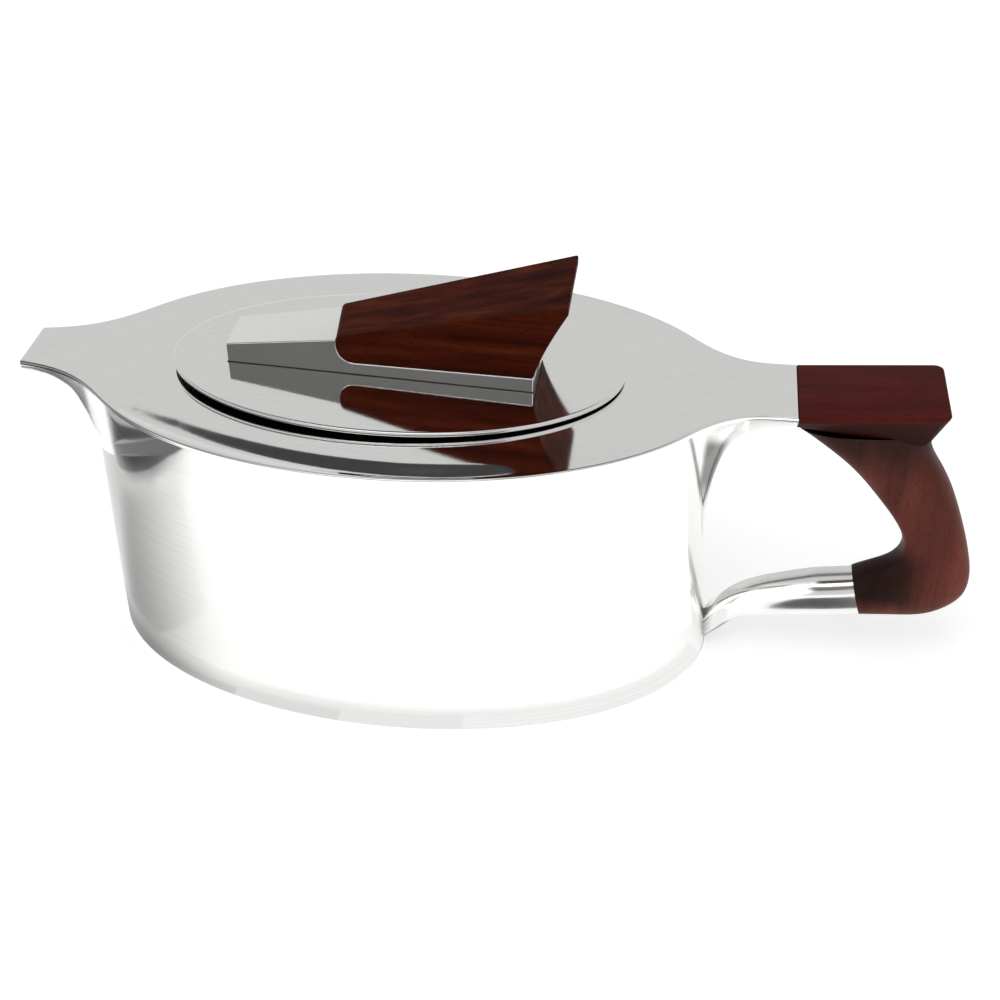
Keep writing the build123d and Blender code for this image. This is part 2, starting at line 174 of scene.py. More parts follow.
def wood(name, along, dark, middle, light, gloss=0.5, shine=0.12):
    """Oiled hardwood: long streaks and fine dark pores. along is the grain's axis, 0, 1 or 2."""
    material, tree = new_material(name)
    streak_scale = [190.0] * 3
    streak_scale[along] = 13.0
    pore_scale = [3300.0] * 3
    pore_scale[along] = 620.0
    streaks = stretched_noise(tree, streak_scale, 5.0, 0.55, 0.5)
    pores = stretched_noise(tree, pore_scale, 2.0)
    base = ramp(tree, streaks.outputs["Fac"], (0.30, dark), (0.52, middle), (0.74, light))
    pits = ramp(tree, pores.outputs["Fac"], (0.30, 0.3), (0.40, 1.0))
    colour = multiplied(tree, times_tone(tree, base), pits)
    bump = add_node(tree, "ShaderNodeBump", {"Height": pits, "Strength": 0.6, "Distance": 0.00004})
    shader = add_node(tree, "ShaderNodeBsdfPrincipled", {
        "Base Color": colour, "Roughness": gloss,
        "Normal": bump.outputs[0], "Specular IOR Level": shine})
    close_tree(tree, shader)
    return material


# ---- mesh helpers --------------------------------------------------------------------------
def grid_piece(name, rows, close_across=False, close_along=False):
    """A piece from an array of points, rows by columns by (x, y, z) in millimetres, in a grid of quads."""
    rows = np.asarray(rows, float)
    count, width = rows.shape[:2]
    faces = []
    for i in range(count if close_along else count - 1):
        for j in range(width if close_across else width - 1):
            after, beside = (i + 1) % count, (j + 1) % width
            faces.append((i * width + j, i * width + beside, after * width + beside, after * width + j))
    return faces_piece(name, rows.reshape(-1, 3), faces)


def faces_piece(name, points, faces):
    mesh = bpy.data.meshes.new(name)
    mesh.from_pydata([tuple(p * MM) for p in points], [], faces)
    tidy = bmesh.new()
    tidy.from_mesh(mesh)
    bmesh.ops.remove_doubles(tidy, verts=tidy.verts, dist=1e-6)
    bmesh.ops.recalc_face_normals(tidy, faces=tidy.faces)
    tidy.to_mesh(mesh)
    tidy.free()
    piece = bpy.data.objects.new(name, mesh)
    bpy.context.scene.collection.objects.link(piece)
    return piece


def shade(piece, material, sharp=35.0):
    """Gives the piece a material, an even tone if unpainted, and creases above an angle in degrees."""
    if "painted_light" not in piece.data.color_attributes:
        paint(piece, lambda x, y, z: 1.0)
    piece.data.materials.append(material)
    piece.data.shade_smooth()
    piece.data.set_sharp_from_angle(angle=math.radians(sharp))
    return piece


def paint(piece, painted_light):
    """Stores the painted light and shade at each point. The function given takes arrays of x, y, z in
    millimetres.
    """
    points = np.array([vertex.co for vertex in piece.data.vertices]) / MM
    values = np.broadcast_to(painted_light(*points.T), len(points))
    layer = piece.data.color_attributes.new("painted_light", "FLOAT_COLOR", "POINT")
    layer.data.foreach_set("color", np.repeat(values, 4).astype(np.float32))
    return piece


def ease(value, start, finish):
    """0 before start, 1 after finish, smooth between; start may be the larger."""
    share = np.clip((value - start) / (finish - start), 0, 1)
    return share * share * (3 - 2 * share)


def stand_for(piece, body, slot, *nodes):
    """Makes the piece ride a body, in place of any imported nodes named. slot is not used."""
    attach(piece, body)
    if nodes:
        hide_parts(*nodes)


# ---- outlines -------------------------------------------------------------------------------
def clamped_spline(points, start, end, count):
    """A smooth curve through points with given end directions: natural chord-length cubic."""
    points = np.asarray(points, float)
    steps = np.linalg.norm(np.diff(points, axis=0), axis=1)
    knots = np.concatenate([[0], np.cumsum(steps)])
    size = len(points)
    left, right = np.zeros((size, size)), np.zeros((size, 2))
    left[0, 0] = left[-1, -1] = 1
    right[0] = np.asarray(start) / np.linalg.norm(start)
    right[-1] = np.asarray(end) / np.linalg.norm(end)
    for i in range(1, size - 1):
        a, b = steps[i - 1], steps[i]
        left[i, i - 1:i + 2] = b, 2 * (a + b), a
        right[i] = 3 * (b / a * (points[i] - points[i - 1]) + a / b * (points[i + 1] - points[i]))
    slopes = np.linalg.solve(left, right)
    t = np.linspace(0, knots[-1], count)
    span = np.clip(np.searchsorted(knots, t, side="right") - 1, 0, size - 2)
    h = steps[span][:, None]
    s = ((t - knots[span]) / steps[span])[:, None]
    p0, p1, m0, m1 = points[span], points[span + 1], slopes[span], slopes[span + 1]
    return ((2 * s**3 - 3 * s**2 + 1) * p0 + (s**3 - 2 * s**2 + s) * h * m0
            + (3 * s**2 - 2 * s**3) * p1 + (s**3 - s**2) * h * m1)


DECK_MID_X, DECK_RX, DECK_RY = 1.4, 89.9, 52.7
SPOUT_JOIN, TANG_JOIN = math.radians(147.5), math.radians(33.5)
TIP_HALF, TANG_HALF = 9.3, 13.2
LIP_CURVE = [(-84.5, 18.7), (-96.0, 12.0)]
TONGUE_CURVE = [(97.0, 13.9), (86.5, 19.3)]


def deck_half_outline():
    """The deck's outline on the +Y side, from the tongue's corner to the lip's corner."""
    angles = np.linspace(TANG_JOIN, SPOUT_JOIN, 160)
    oval = np.stack([DECK_MID_X + DECK_RX * np.cos(angles), DECK_RY * np.sin(angles)], 1)
    tongue_points = [(TANG_X, TANG_HALF)] + TONGUE_CURVE + [tuple(oval[0])]
    tongue = clamped_spline(tongue_points, (-1, 0), oval[1] - oval[0], 70)
    lip_points = [tuple(oval[-1])] + LIP_CURVE + [(TIP_X, TIP_HALF)]
    lip = clamped_spline(lip_points, oval[-1] - oval[-2], (-1, -0.17), 70)
    return np.concatenate([tongue[:-1], oval, lip[1:]])


HALF_OUTLINE = deck_half_outline()
OUTLINE_X = HALF_OUTLINE[::-1, 0]
OUTLINE_Y = HALF_OUTLINE[::-1, 1]


def deck_half_width(x):
    return np.interp(x, OUTLINE_X, OUTLINE_Y)


# ---- the wall, the beak and the handle socket as one skin -------------------------------------
def wall_frame(z):
    """Centre, half length and half width of the wall at a height, and the height's share of the whole."""
    share = z / DECK_TOP
    rx = BASE_RX + (TOP_RX - BASE_RX) * share
    ry = BASE_RY + (TOP_RY - BASE_RY) * share
    return TOP_SHIFT * share, rx, ry, share


SPOUT_BLUNT, HANDLE_BLUNT = -0.15, 0.12     # how the section leaves a true oval as the wall rises


def wall_power(local_x, share):
    """The power of the wall's section, 2 for a true oval, at a distance from its centre."""
    blend = np.clip(np.abs(local_x) / 12.0, 0, 1)
    return 2 + share * blend * np.where(local_x < 0, SPOUT_BLUNT, HANDLE_BLUNT)


def wall_gap(points):
    """Rough distance outside the wall, in millimetres; negative inside."""
    x, y, z = points[..., 0], points[..., 1], points[..., 2]
    centre, rx, ry, share = wall_frame(z)
    local = x - centre
    power = wall_power(local, share)
    level = (np.abs(local / rx)**power + np.abs(y / ry)**power)**(1 / power)
    slope = np.sqrt((local / rx**2)**2 + (y / ry**2)**2) / np.maximum(level, 1e-6)
    return (level - 1) / np.maximum(slope, 1e-6)


# A rib of a flare: x at the deck, half width there, keel x, keel z, shoulder, drop, nose.
# shoulder and drop place the first handle of the U's side, nose widens its bottom.
SPOUT_RIBS = [
    (-107.3, 9.2, -107.3, 84.0, 0.98, 0.55, 0.55), (-101.0, 10.4, -102.6, 82.9, 0.97, 0.52, 0.52),
    (-94.5, 12.5, -98.2, 80.9, 0.95, 0.50, 0.50), (-87.5, 16.5, -94.9, 77.9, 0.93, 0.46, 0.50),
    (-79.5, 23.0, -92.4, 73.8, 0.90, 0.42, 0.50), (-70.0, 31.2, -90.6, 69.8, 0.88, 0.38, 0.50),
    (-59.0, 38.4, -89.2, 66.0, 0.86, 0.34, 0.52), (-48.0, 43.0, -86.0, 60.0, 0.85, 0.33, 0.52)]
SOCKET_RIBS = [
    (109.3, 13.1, 109.3, 81.0, 0.80, 0.42, 0.26), (104.0, 12.9, 103.0, 80.0, 0.80, 0.42, 0.26),
    (98.0, 12.9, 97.2, 77.2, 0.78, 0.38, 0.26), (93.0, 12.6, 92.4, 72.0, 0.72, 0.34, 0.25),
    (89.0, 12.0, 89.6, 63.0, 0.62, 0.30, 0.22), (85.5, 11.0, 87.8, 53.0, 0.50, 0.28, 0.18),
    (82.0, 10.0, 86.0, 42.0, 0.42, 0.26, 0.15), (77.0, 9.0, 83.0, 28.0, 0.36, 0.24, 0.12)]


def smooth_rows(table, count):
    """Rows between the table's rows along smooth curves through them."""
    table = np.asarray(table, float)
    padded = np.vstack([2 * table[0] - table[1], table, 2 * table[-1] - table[-2]])
    place = np.linspace(0, len(table) - 1 - 1e-9, count)
    span = place.astype(int)
    t = (place - span)[:, None]
    p0, p1, p2, p3 = (padded[span + k] for k in range(4))
    return p1 + t / 2 * (p2 - p0 + t * (2 * p0 - 5 * p1 + 4 * p2 - p3 + t * (3 * (p1 - p2) + p3 - p0)))


def wall_outward(points):
    """The wall's outward direction in plan at each point."""
    step = 0.05
    across = wall_gap(points + (step, 0, 0)) - wall_gap(points - (step, 0, 0))
    along = wall_gap(points + (0, step, 0)) - wall_gap(points - (0, step, 0))
    size = np.maximum(np.hypot(across, along), 1e-6)
    return np.stack([across / size, along / size, np.zeros_like(size)], -1)


def flare_piece(name, ribs, melt, count_along=120, count_across=60):
    """A fan of U ribs whose skin melts into the wall over a distance of melt.

    Points of the ribs that lie deeper in the wall end just under its surface.
    """
    t = np.linspace(0, 1, count_across)
    rows = []
    for top_x, half, keel_x, keel_z, shoulder, drop, nose in smooth_rows(ribs, count_along):
        down = np.array([keel_x - top_x, keel_z - DECK_UNDER])
        out = half * ((1 - t)**3 + 3 * (1 - t)**2 * t * shoulder + 3 * (1 - t) * t**2 * nose)
        deep = 3 * (1 - t)**2 * t * drop + 3 * (1 - t) * t**2 + t**3
        x, z = top_x + down[0] * deep, DECK_UNDER + down[1] * deep
        side = np.stack([x, out, z], 1)
        rows.append(np.concatenate([side, side[-2::-1] * (1, -1, 1)]))
    points = np.array(rows)
    gap = wall_gap(points)
    near = np.maximum(melt - np.abs(gap), 0) / melt
    wanted = np.maximum(gap, 0) + near**3 * melt / 6
    wanted = np.where(gap < -0.55 * melt, -0.06, wanted)
    for _ in range(4):
        points = points + wall_outward(points) * (wanted - wall_gap(points))[..., None]
    limit = deck_half_width(points[..., 0]) - 0.12
    points[..., 1] = np.clip(points[..., 1], -limit, limit)
    return grid_piece(name, points)


def make_wall():
    """Outer and inner faces of the wall, closed at the top edge."""
    turn = np.linspace(0, 2 * math.pi, 541)[:-1]
    heights = np.concatenate([np.linspace(1.2, 62, 24), np.linspace(62, DECK_UNDER, 50)[1:]])

    def ring(z, inset):
        centre, rx, ry, share = wall_frame(z)
        cos, sin = np.cos(turn), np.sin(turn)
        power = wall_power(cos * rx, share)
        x = np.sign(cos) * np.abs(cos)**(2 / power) * (rx - inset)
        y = np.sign(sin) * np.abs(sin)**(2 / power) * (ry - inset)
        return np.stack([centre + x, y, np.full_like(x, z)], 1)

    rows = [ring(z, 0) for z in heights] + [ring(z, WALL) for z in heights[::-3]]
    piece = grid_piece("pot_wall", rows, close_across=True, close_along=True)
    cut_throat(piece)
    return piece


STRAINER_SHIFT, STRAINER_NARROWED = 2.4, 0.93       # along x, and as a share of its width


def make_strainer():
    """The pierced plate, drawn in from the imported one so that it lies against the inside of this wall."""
    mesh = NODES["strainer_plate"].data.copy()
    for vertex in mesh.vertices:
        vertex.co = (vertex.co.x + STRAINER_SHIFT * MM, vertex.co.y * STRAINER_NARROWED, vertex.co.z)
    mesh.materials.clear()
    piece = bpy.data.objects.new("pot_strainer", mesh)
    bpy.context.scene.collection.objects.link(piece)
    return piece


# The opening into the spout: it lies below this x, above this z, and within this half width.
THROAT_X, THROAT_LOW, THROAT_HALF = -80, 78, 9


def cut_throat(piece):
    """Opens the wall where the tea goes into the spout."""
    editing = bmesh.new()
    editing.from_mesh(piece.data)
    doomed = []
    for face in editing.faces:
        x, y, z = face.calc_center_median() / MM
        if x < THROAT_X and z > THROAT_LOW and abs(y) < THROAT_HALF:
            doomed.append(face)
    bmesh.ops.delete(editing, geom=doomed, context="FACES")
    editing.to_mesh(piece.data)
    editing.free()


# ---- flat plates: deck and lid ------------------------------------------------------------------
# Edge profile of a plate from top to underside: how far in from the outline, how far below the top.
EDGE_PROFILE = [(0.42, 0.0), (0.22, 0.03), (0.08, 0.12), (0.0, 0.30)]


def edge_rows(inset_outline, top, thick):
    """Rings of (x, y, z) points down a plate's rounded edge. inset_outline gives the plan for an inset."""
    downs = list(EDGE_PROFILE) + [(inset, thick - drop) for inset, drop in EDGE_PROFILE[::-1]]
    rows = []
    for inset, drop in downs:
        plan = inset_outline(inset)
        rows.append(np.column_stack([plan, np.full(len(plan), top - drop)]))
    return rows


def deck_outline(inset):
    """The deck's outline moved in by inset, anticlockwise, with points across both straight ends."""
    slope = np.gradient(HALF_OUTLINE, axis=0)
    normal = np.stack([-slope[:, 1], slope[:, 0]], 1) / np.linalg.norm(slope, axis=1)[:, None]
    far = HALF_OUTLINE + normal * inset
    far[:, 0] = np.clip(far[:, 0], TIP_X + inset, TANG_X - inset)
    near = far[::-1] * (1, -1)
    end_steps = np.linspace(-1, 1, 12)[1:-1]
    lip_end = np.stack([np.full(10, TIP_X + inset), -far[-1, 1] * end_steps], 1)
    tongue_end = np.stack([np.full(10, TANG_X - inset), far[0, 1] * end_steps], 1)
    return np.concatenate([far, lip_end, near, tongue_end])


# A shallow hammered ripple left along the front of the deck: (x, distance of its middle from the rim).
RIPPLE_PATH = [(-80, 4.6), (-68, 5.8), (-53, 7.7), (-33, 7.0), (-10, 5.7), (10, 4.7), (30, 4.2)]
RIPPLE_WIDTH = 6.6
RIPPLE_DROP = 0.34


def ripple_height(points):
    """How far the deck's top lies below its plane at plan points."""
    x, y = points[:, 0], points[:, 1]
    share = np.clip((x - DECK_MID_X) / DECK_RX, -1, 1)
    from_rim = DECK_RY * np.sqrt(1 - share**2) + y
    middle = np.interp(x, *np.array(RIPPLE_PATH).T)
    fall = ease(from_rim, middle + RIPPLE_WIDTH / 2, middle - RIPPLE_WIDTH / 2)
    rise = ease(from_rim, 0.6, 0.6 + np.maximum(middle - RIPPLE_WIDTH / 2, 0.5))
    fade = np.clip((x + 76) / 10, 0, 1) * np.clip((48 - x) / 26, 0, 1)
    return RIPPLE_DROP * fade * fall * rise


def make_deck():
    outline = deck_outline(0.0)
    angle = np.arctan2(outline[:, 1] / SEAT_RY, outline[:, 0] / SEAT_RX)
    seat = np.stack([SEAT_RX * np.cos(angle), SEAT_RY * np.sin(angle)], 1)
    edge = edge_rows(deck_outline, DECK_TOP, DECK_TOP - DECK_UNDER)
    start, finish = edge[0][:, :2], edge[-1][:, :2]
    top_rows = []
    for share in np.linspace(0, 1, 56)[:-1]:
        plan = seat + (start - seat) * share
        top_rows.append(np.column_stack([plan, DECK_TOP - ripple_height(plan)]))
    under_rows = []
    for share in np.linspace(1, 0, 8)[1:]:
        plan = seat + (finish - seat) * share
        under_rows.append(np.column_stack([plan, np.full(len(plan), DECK_UNDER)]))
    return grid_piece("pot_deck", top_rows + edge + under_rows, close_across=True, close_along=True)


def raked(points):
    """From the lid's own frame to the pot's: tipped by the rake and set at the lid's height."""
    points = np.asarray(points, float)
    cos, sin = math.cos(LID_RAKE), math.sin(LID_RAKE)
    x, y, z = points[..., 0], points[..., 1], points[..., 2]
    return np.stack([cos * x + sin * z, y, LID_TOP - sin * x + cos * z], -1)


def lid_outline(inset):
    turn = np.linspace(0, 2 * math.pi, 289)[:-1]
    return np.stack([(LID_RX - inset) * np.cos(turn), (LID_RY - inset) * np.sin(turn)], 1)


def make_lid():
    edge = edge_rows(lid_outline, 0.0, LID_THICK)
    inner = [edge[0] * (share, share, 1) for share in (0, 0.3, 0.6, 0.8, 0.92, 0.98)]
    under = [edge[-1] * (share, share, 1) for share in (0.98, 0.6, 0.2, 0)]
    return grid_piece("lid_sheet", raked(np.array(inner + edge + under)), close_across=True)


def darken_underside(piece, material):
    """Gives the lid's underside the near-black silver: painted shade in the gap under the lid."""
    piece.data.materials.append(material)
    for face in piece.data.polygons:
        if face.normal.z < -0.9:
            face.material_index = 1
    return piece


# ---- lid grip -------------------------------------------------------------------------------
NOSE_X, NOSE_HALF, NOSE_HEIGHT = -46.2, 7.3, 5.9
TAIL_X, TAIL_HALF = 39.4, 12.3
HEEL_X, HEEL_HEIGHT = -14.6, 10.5
STRIP_HEIGHT, STRIP_HEEL_HEIGHT = 4.4, 3.6
WOOD_HEEL_HEIGHT, WOOD_TIP_X, WOOD_TIP_HEIGHT = 11.6, 48.4, 27.9
WOOD_NOTCH, WOOD_HEEL_ROUND = 4.6, 1.6
WOOD_LEAN = math.radians(4.5)


def arc_through(start, middle, end, count):
    """Points on a smooth bow through three points, as a quadratic that passes the middle one."""
    start, middle, end = (np.array(p, float) for p in (start, middle, end))
    pull = 2 * middle - (start + end) / 2
    t = np.linspace(0, 1, count)[:, None]
    return (1 - t)**2 * start + 2 * t * (1 - t) * pull + t**2 * end


def grip_half(x, z):
    """Half width of the lid grip: a wedge in plan, leaning out above the silver strip."""
    plan = NOSE_HALF + (TAIL_HALF - NOSE_HALF) * (x - NOSE_X) / (TAIL_X - NOSE_X)
    return plan + math.tan(WOOD_LEAN) * np.maximum(z - STRIP_HEIGHT, 0)


def slab_from_side(name, side, edge, lean=True, skew=0.0):
    """A slab between two mirrored side faces. skew moves the heel's far corner towards the spout."""
    side = np.asarray(side, float)
    half = grip_half(side[:, 0], side[:, 1] if lean else np.zeros(len(side)))
    count = len(side)
    right = np.column_stack([side[:, 0], -half, side[:, 1]])
    left = np.column_stack([side[:, 0], half, side[:, 1]])
    heel = (side[:, 0] < HEEL_X + 3) & (side[:, 1] > HEEL_HEIGHT - 1)
    left[heel] -= (skew, 0.6 * skew, 0)
    faces = [tuple(range(count)), tuple(range(2 * count - 1, count - 1, -1))]
    faces += [(i, i + count, (i + 1) % count + count, (i + 1) % count) for i in range(count)]
    piece = faces_piece(name, raked(np.concatenate([right, left])), faces)
    soften(piece, edge)
    return piece


def soften(piece, width, limit=38.0, segments=3):
    bevel = piece.modifiers.new("soft edges", "BEVEL")
    bevel.width = width * MM
    bevel.segments = segments
    bevel.limit_method = "ANGLE"
    bevel.angle_limit = math.radians(limit)
    bevel.harden_normals = True


NOTCH_ARC = arc_through(
    (HEEL_X, STRIP_HEEL_HEIGHT + WOOD_NOTCH),
    (HEEL_X + 0.3 * WOOD_NOTCH, STRIP_HEEL_HEIGHT + 0.3 * WOOD_NOTCH),
    (HEEL_X + WOOD_NOTCH, STRIP_HEEL_HEIGHT), 9)


def make_lid_wood():
    slope = (WOOD_TIP_HEIGHT - WOOD_HEEL_HEIGHT) / (WOOD_TIP_X - HEEL_X)
    heel_top = (HEEL_X + WOOD_HEEL_ROUND, WOOD_HEEL_HEIGHT + WOOD_HEEL_ROUND * slope)
    heel_mid = (HEEL_X + 0.3 * WOOD_HEEL_ROUND, WOOD_HEEL_HEIGHT - 0.1 * WOOD_HEEL_ROUND)
    heel = arc_through((HEEL_X, WOOD_HEEL_HEIGHT - WOOD_HEEL_ROUND), heel_mid, heel_top, 6)
    tail_top = (WOOD_TIP_X, WOOD_TIP_HEIGHT - 2.4)
    tail = arc_through(tail_top, (TAIL_X + 3.1, STRIP_HEIGHT + 9.0), (TAIL_X + 0.1, STRIP_HEIGHT), 14)
    side = np.concatenate([heel, [(WOOD_TIP_X, WOOD_TIP_HEIGHT)], tail, NOTCH_ARC[::-1]])
    return slab_from_side("lid_wood", side, 0.8, skew=2.0)


def make_holder():
    top = [
        (HEEL_X, HEEL_HEIGHT), (NOSE_X, NOSE_HEIGHT),
        (NOSE_X, -0.4), (TAIL_X, -0.4), (TAIL_X, STRIP_HEIGHT)]
    side = np.concatenate([top, NOTCH_ARC[::-1]])
    return slab_from_side("lid_holder", side, 0.28, lean=False)


SOLDER_SECTION = [(0.0, 0.36), (0.22, 0.03)]        # out from the holder, up from the lid


def make_solder():
    """The dark line of solder round the holder's foot."""
    rows = []
    for out, rise in SOLDER_SECTION:
        nose, tail = NOSE_X - out, TAIL_X + out
        near, far = grip_half(NOSE_X, 0.0) + out, grip_half(TAIL_X, 0.0) + out
        rows.append([(nose, -near, rise), (tail, -far, rise), (tail, far, rise), (nose, near, rise)])
    return grid_piece("lid_solder", raked(np.array(rows)), close_across=True)


# ---- handle ---------------------------------------------------------------------------------
# Side outline of the wooden grip, x and z: the outer edge going down, the inner edge going back up.
GRIP_OUTER = [
    (145.6, 84.0), (145.9, 78.2), (151.1, 67.9), (156.5, 56.5), (161.6, 41.5), (163.2, 32.8),
    (162.3, 26.8), (158.8, 22.4), (153.2, 19.2), (144.5, 18.0), (134.6, 17.4)]
GRIP_INNER = [
    (131.0, 30.4), (136.8, 33.8), (141.2, 37.0), (143.1, 40.6), (142.6, 46.4), (140.0, 51.8),
    (133.4, 60.8), (125.0, 70.4), (117.0, 77.2), (109.5, 82.4)]
# Half width of the grip and the height it is found at.
GRIP_HALF = [(6.5, 12.0), (6.9, 30.0), (7.2, 43.0), (7.6, 58.0), (8.6, 74.0), (9.6, 86.0)]
GRIP_SQUARE = 2.6           # how square the grip's section is: 2 is an oval
GRIP_END_HALF = 6.6
STRUT_SQUARE = 2.7
# The strut from the wall's foot to the wood: x, z, half thickness, direction in degrees.
STRUT_SECTIONS = [
    (87.6, 1.6, 3.0, 68), (92.3, 8.0, 3.4, 60), (95.6, 12.6, 4.0, 48), (100.4, 16.4, 4.8, 28),
    (106.0, 18.5, 5.6, 15), (113.0, 20.2, 6.2, 11), (122.0, 22.1, 6.7, 12)]
HEAD_TOP_X, HEAD_TOP_Z, HEAD_HALF = 147.8, 93.9, 13.4
HEAD_KEEL_X, HEAD_KEEL_Z = 144.2, 81.0
HEAD_ROOT_Z = 84.8
HEAD_EDGE, HEAD_NECK_HALF = 1.3, 8.6


def section_ring(low, high, half, power, count=56):
    """A squarish oval ring in the plane through low and high, (x, z) points, and the Y axis."""
    low, high = np.asarray(low, float), np.asarray(high, float)
    turn = np.linspace(0, 2 * math.pi, count + 1)[:-1]
    cos, sin = np.cos(turn), np.sin(turn)
    side = np.sign(cos) * np.abs(cos)**(2 / power) * half
    rise = np.sign(sin) * np.abs(sin)**(2 / power) / 2 + 0.5
    along = low + (high - low) * rise[:, None]
    return np.column_stack([along[:, 0], side, along[:, 1]])


def make_grip():
    outer = clamped_spline(GRIP_OUTER, (0.05, -1), (-1, -0.05), 150)
    inner = clamped_spline(GRIP_INNER[::-1], (0.85, -0.5), (-0.8, -0.55), 150)
    heights = [z for _, z in GRIP_HALF]
    rings = []
    for low, high in zip(outer, inner):
        middle = (low[1] + high[1]) / 2
        half = np.interp(middle, heights, [y for y, _ in GRIP_HALF])
        rings.append(section_ring(low, high, half, GRIP_SQUARE))
    end = rings[-1].mean(0)
    rings.append(end + (rings[-1] - end) * 0.96)
    rings.append(np.repeat(end[None], len(rings[-1]), 0))
    return grid_piece("handle_leg", rings, close_across=True)


def make_strut():
    low, high = GRIP_OUTER[-1], GRIP_INNER[0]
    spots = [(x, z) for x, z, _, _ in STRUT_SECTIONS] + [((low[0] + high[0]) / 2, (low[1] + high[1]) / 2)]
    run = np.linspace(0, 1, 120)
    path = clamped_spline(spots, (0.35, 1), (1, 0.22), 120)
    steps = np.linalg.norm(np.diff(np.array(spots), axis=0), axis=1)
    marks = np.concatenate([[0], np.cumsum(steps)]) / steps.sum()
    talls = [r for _, _, r, _ in STRUT_SECTIONS] + [math.dist(low, high) / 2]
    wides = [r for _, _, r, _ in STRUT_SECTIONS] + [GRIP_END_HALF]
    end_lean = math.degrees(math.atan2(low[0] - high[0], high[1] - low[1]))
    leans = [a for _, _, _, a in STRUT_SECTIONS] + [end_lean]
    tall, wide, lean = (smooth_table(marks, values, run) for values in (talls, wides, leans))
    rings = []
    for spot, half_tall, half_wide, angle in zip(path, tall, wide, np.radians(lean)):
        up = np.array([-math.sin(angle), math.cos(angle)])
        rings.append(section_ring(spot - up * half_tall, spot + up * half_tall, half_wide, STRUT_SQUARE))
    middle = rings[-1].mean(0)
    rings.append(middle + (rings[-1] - middle) * 0.97 + (0.1, 0, 0))
    return grid_piece("pot_strut", rings, close_across=True)


def smooth_table(marks, values, run):
    """Reads a table at each place in run, its corners rounded off."""
    places = np.linspace(-0.2, 1.2, 561)
    kernel = np.hanning(61)
    smooth = np.convolve(np.interp(places, marks, values), kernel / kernel.sum(), mode="same")
    return np.interp(run, places, smooth)


def head_ring(level, inset, drop):
    """An outline of the head at its top, at the foot of its slab edge or at its keel: level 0, 1 or 2.

    inset draws the outline in and drop lowers it.
    """
    right = (HEAD_TOP_X, HEAD_TOP_X - 0.3, HEAD_KEEL_X)[level] - inset
    half = (HEAD_HALF, HEAD_HALF, HEAD_NECK_HALF)[level] - inset
    left = TANG_X + min(inset, 0.2) + 0.04
    corner = (2.6, 2.6, 2.0)[level]
    turn = np.linspace(0, math.pi / 2, 9)
    x = np.concatenate([[left], right - corner + corner * np.sin(turn)])
    y = np.concatenate([[half], half - corner + corner * np.cos(turn)])
    x = np.concatenate([x, x[::-1]])
    y = np.concatenate([y, -y[::-1]])
    top = DECK_TOP + (x - TANG_X) * (HEAD_TOP_Z - DECK_TOP) / (HEAD_TOP_X - TANG_X)
    keel = HEAD_ROOT_Z + (HEAD_KEEL_Z - HEAD_ROOT_Z) * (x - TANG_X) / (HEAD_KEEL_X - TANG_X)
    z = (top, top - HEAD_EDGE, keel)[level] - drop
    return np.column_stack([x, y, z])


def make_head():
    rows = [
        head_ring(0, 0.75, 0.0), head_ring(0, 0.4, 0.05),
        head_ring(0, 0.14, 0.2), head_ring(0, 0.0, 0.55),
        head_ring(1, 0.0, 0.0), head_ring(1, 0.15, 0.35),
        head_ring(2, 0.0, -0.8), head_ring(2, 0.8, 0.0)]
    piece = grid_piece("handle_head", rows, close_across=True)
    cap = bmesh.new()
    cap.from_mesh(piece.data)
    cap.verts.ensure_lookup_table()
    edges = [edge for edge in cap.edges if edge.is_boundary]
    bmesh.ops.edgenet_fill(cap, edges=edges)
    bmesh.ops.recalc_face_normals(cap, faces=cap.faces)
    cap.to_mesh(piece.data)
    cap.free()
    return piece


# ---- stage ----------------------------------------------------------------------------------
ROOM_LIGHT, PAPER_GLOW = 0.62, 0.40
FLOOR_REACH, BACKDROP_REACH = 4000, 5800


def glow(name, level):
    material, tree = new_material(name)
    close_tree(tree, add_node(tree, "ShaderNodeEmission", {"Color": (level, level, level, 1)}))
    return material


def make_sky():
    world = bpy.data.worlds.new("room")
    world.use_nodes = True
    backdrop = world.node_tree.nodes["Background"]
    backdrop.inputs["Color"].default_value = (1.0, 1.0, 1.0, 1)
    backdrop.inputs["Strength"].default_value = ROOM_LIGHT
    bpy.context.scene.world = world


def make_floor():
    material, tree = new_material("paper")
    close_tree(tree, add_node(tree, "ShaderNodeBsdfPrincipled", {
        "Base Color": (0.93, 0.93, 0.93, 1), "Roughness": 1.0, "Specular IOR Level": 0.0,
        "Emission Color": (1, 1, 1, 1), "Emission Strength": PAPER_GLOW}))
    points = np.array([(-1, -1, 0), (1, -1, 0), (1, 1, 0), (-1, 1, 0)], float) * FLOOR_REACH
    floor = faces_piece("floor", points, [(0, 1, 2, 3)])
    floor.data.materials.append(material)


def make_light(name, place, size, watts):
    lamp = bpy.data.lights.new(name, "AREA")
    lamp.shape = "DISK"
    lamp.size = size
    lamp.energy = watts
    light = bpy.data.objects.new(name, lamp)
    aim = Vector(place) - Vector((0, 0, 0.05))
    light.matrix_world = Matrix.Translation(place) @ aim.to_track_quat("Z", "Y").to_matrix().to_4x4()
    bpy.context.scene.collection.objects.link(light)


def reflected_only(card, level):
    """A grey card that polished metal sees, but that neither shows nor shades anything else."""
    card.data.materials.append(glow(card.name, level))
    card.visible_camera = False
    card.visible_diffuse = False
    card.visible_shadow = False


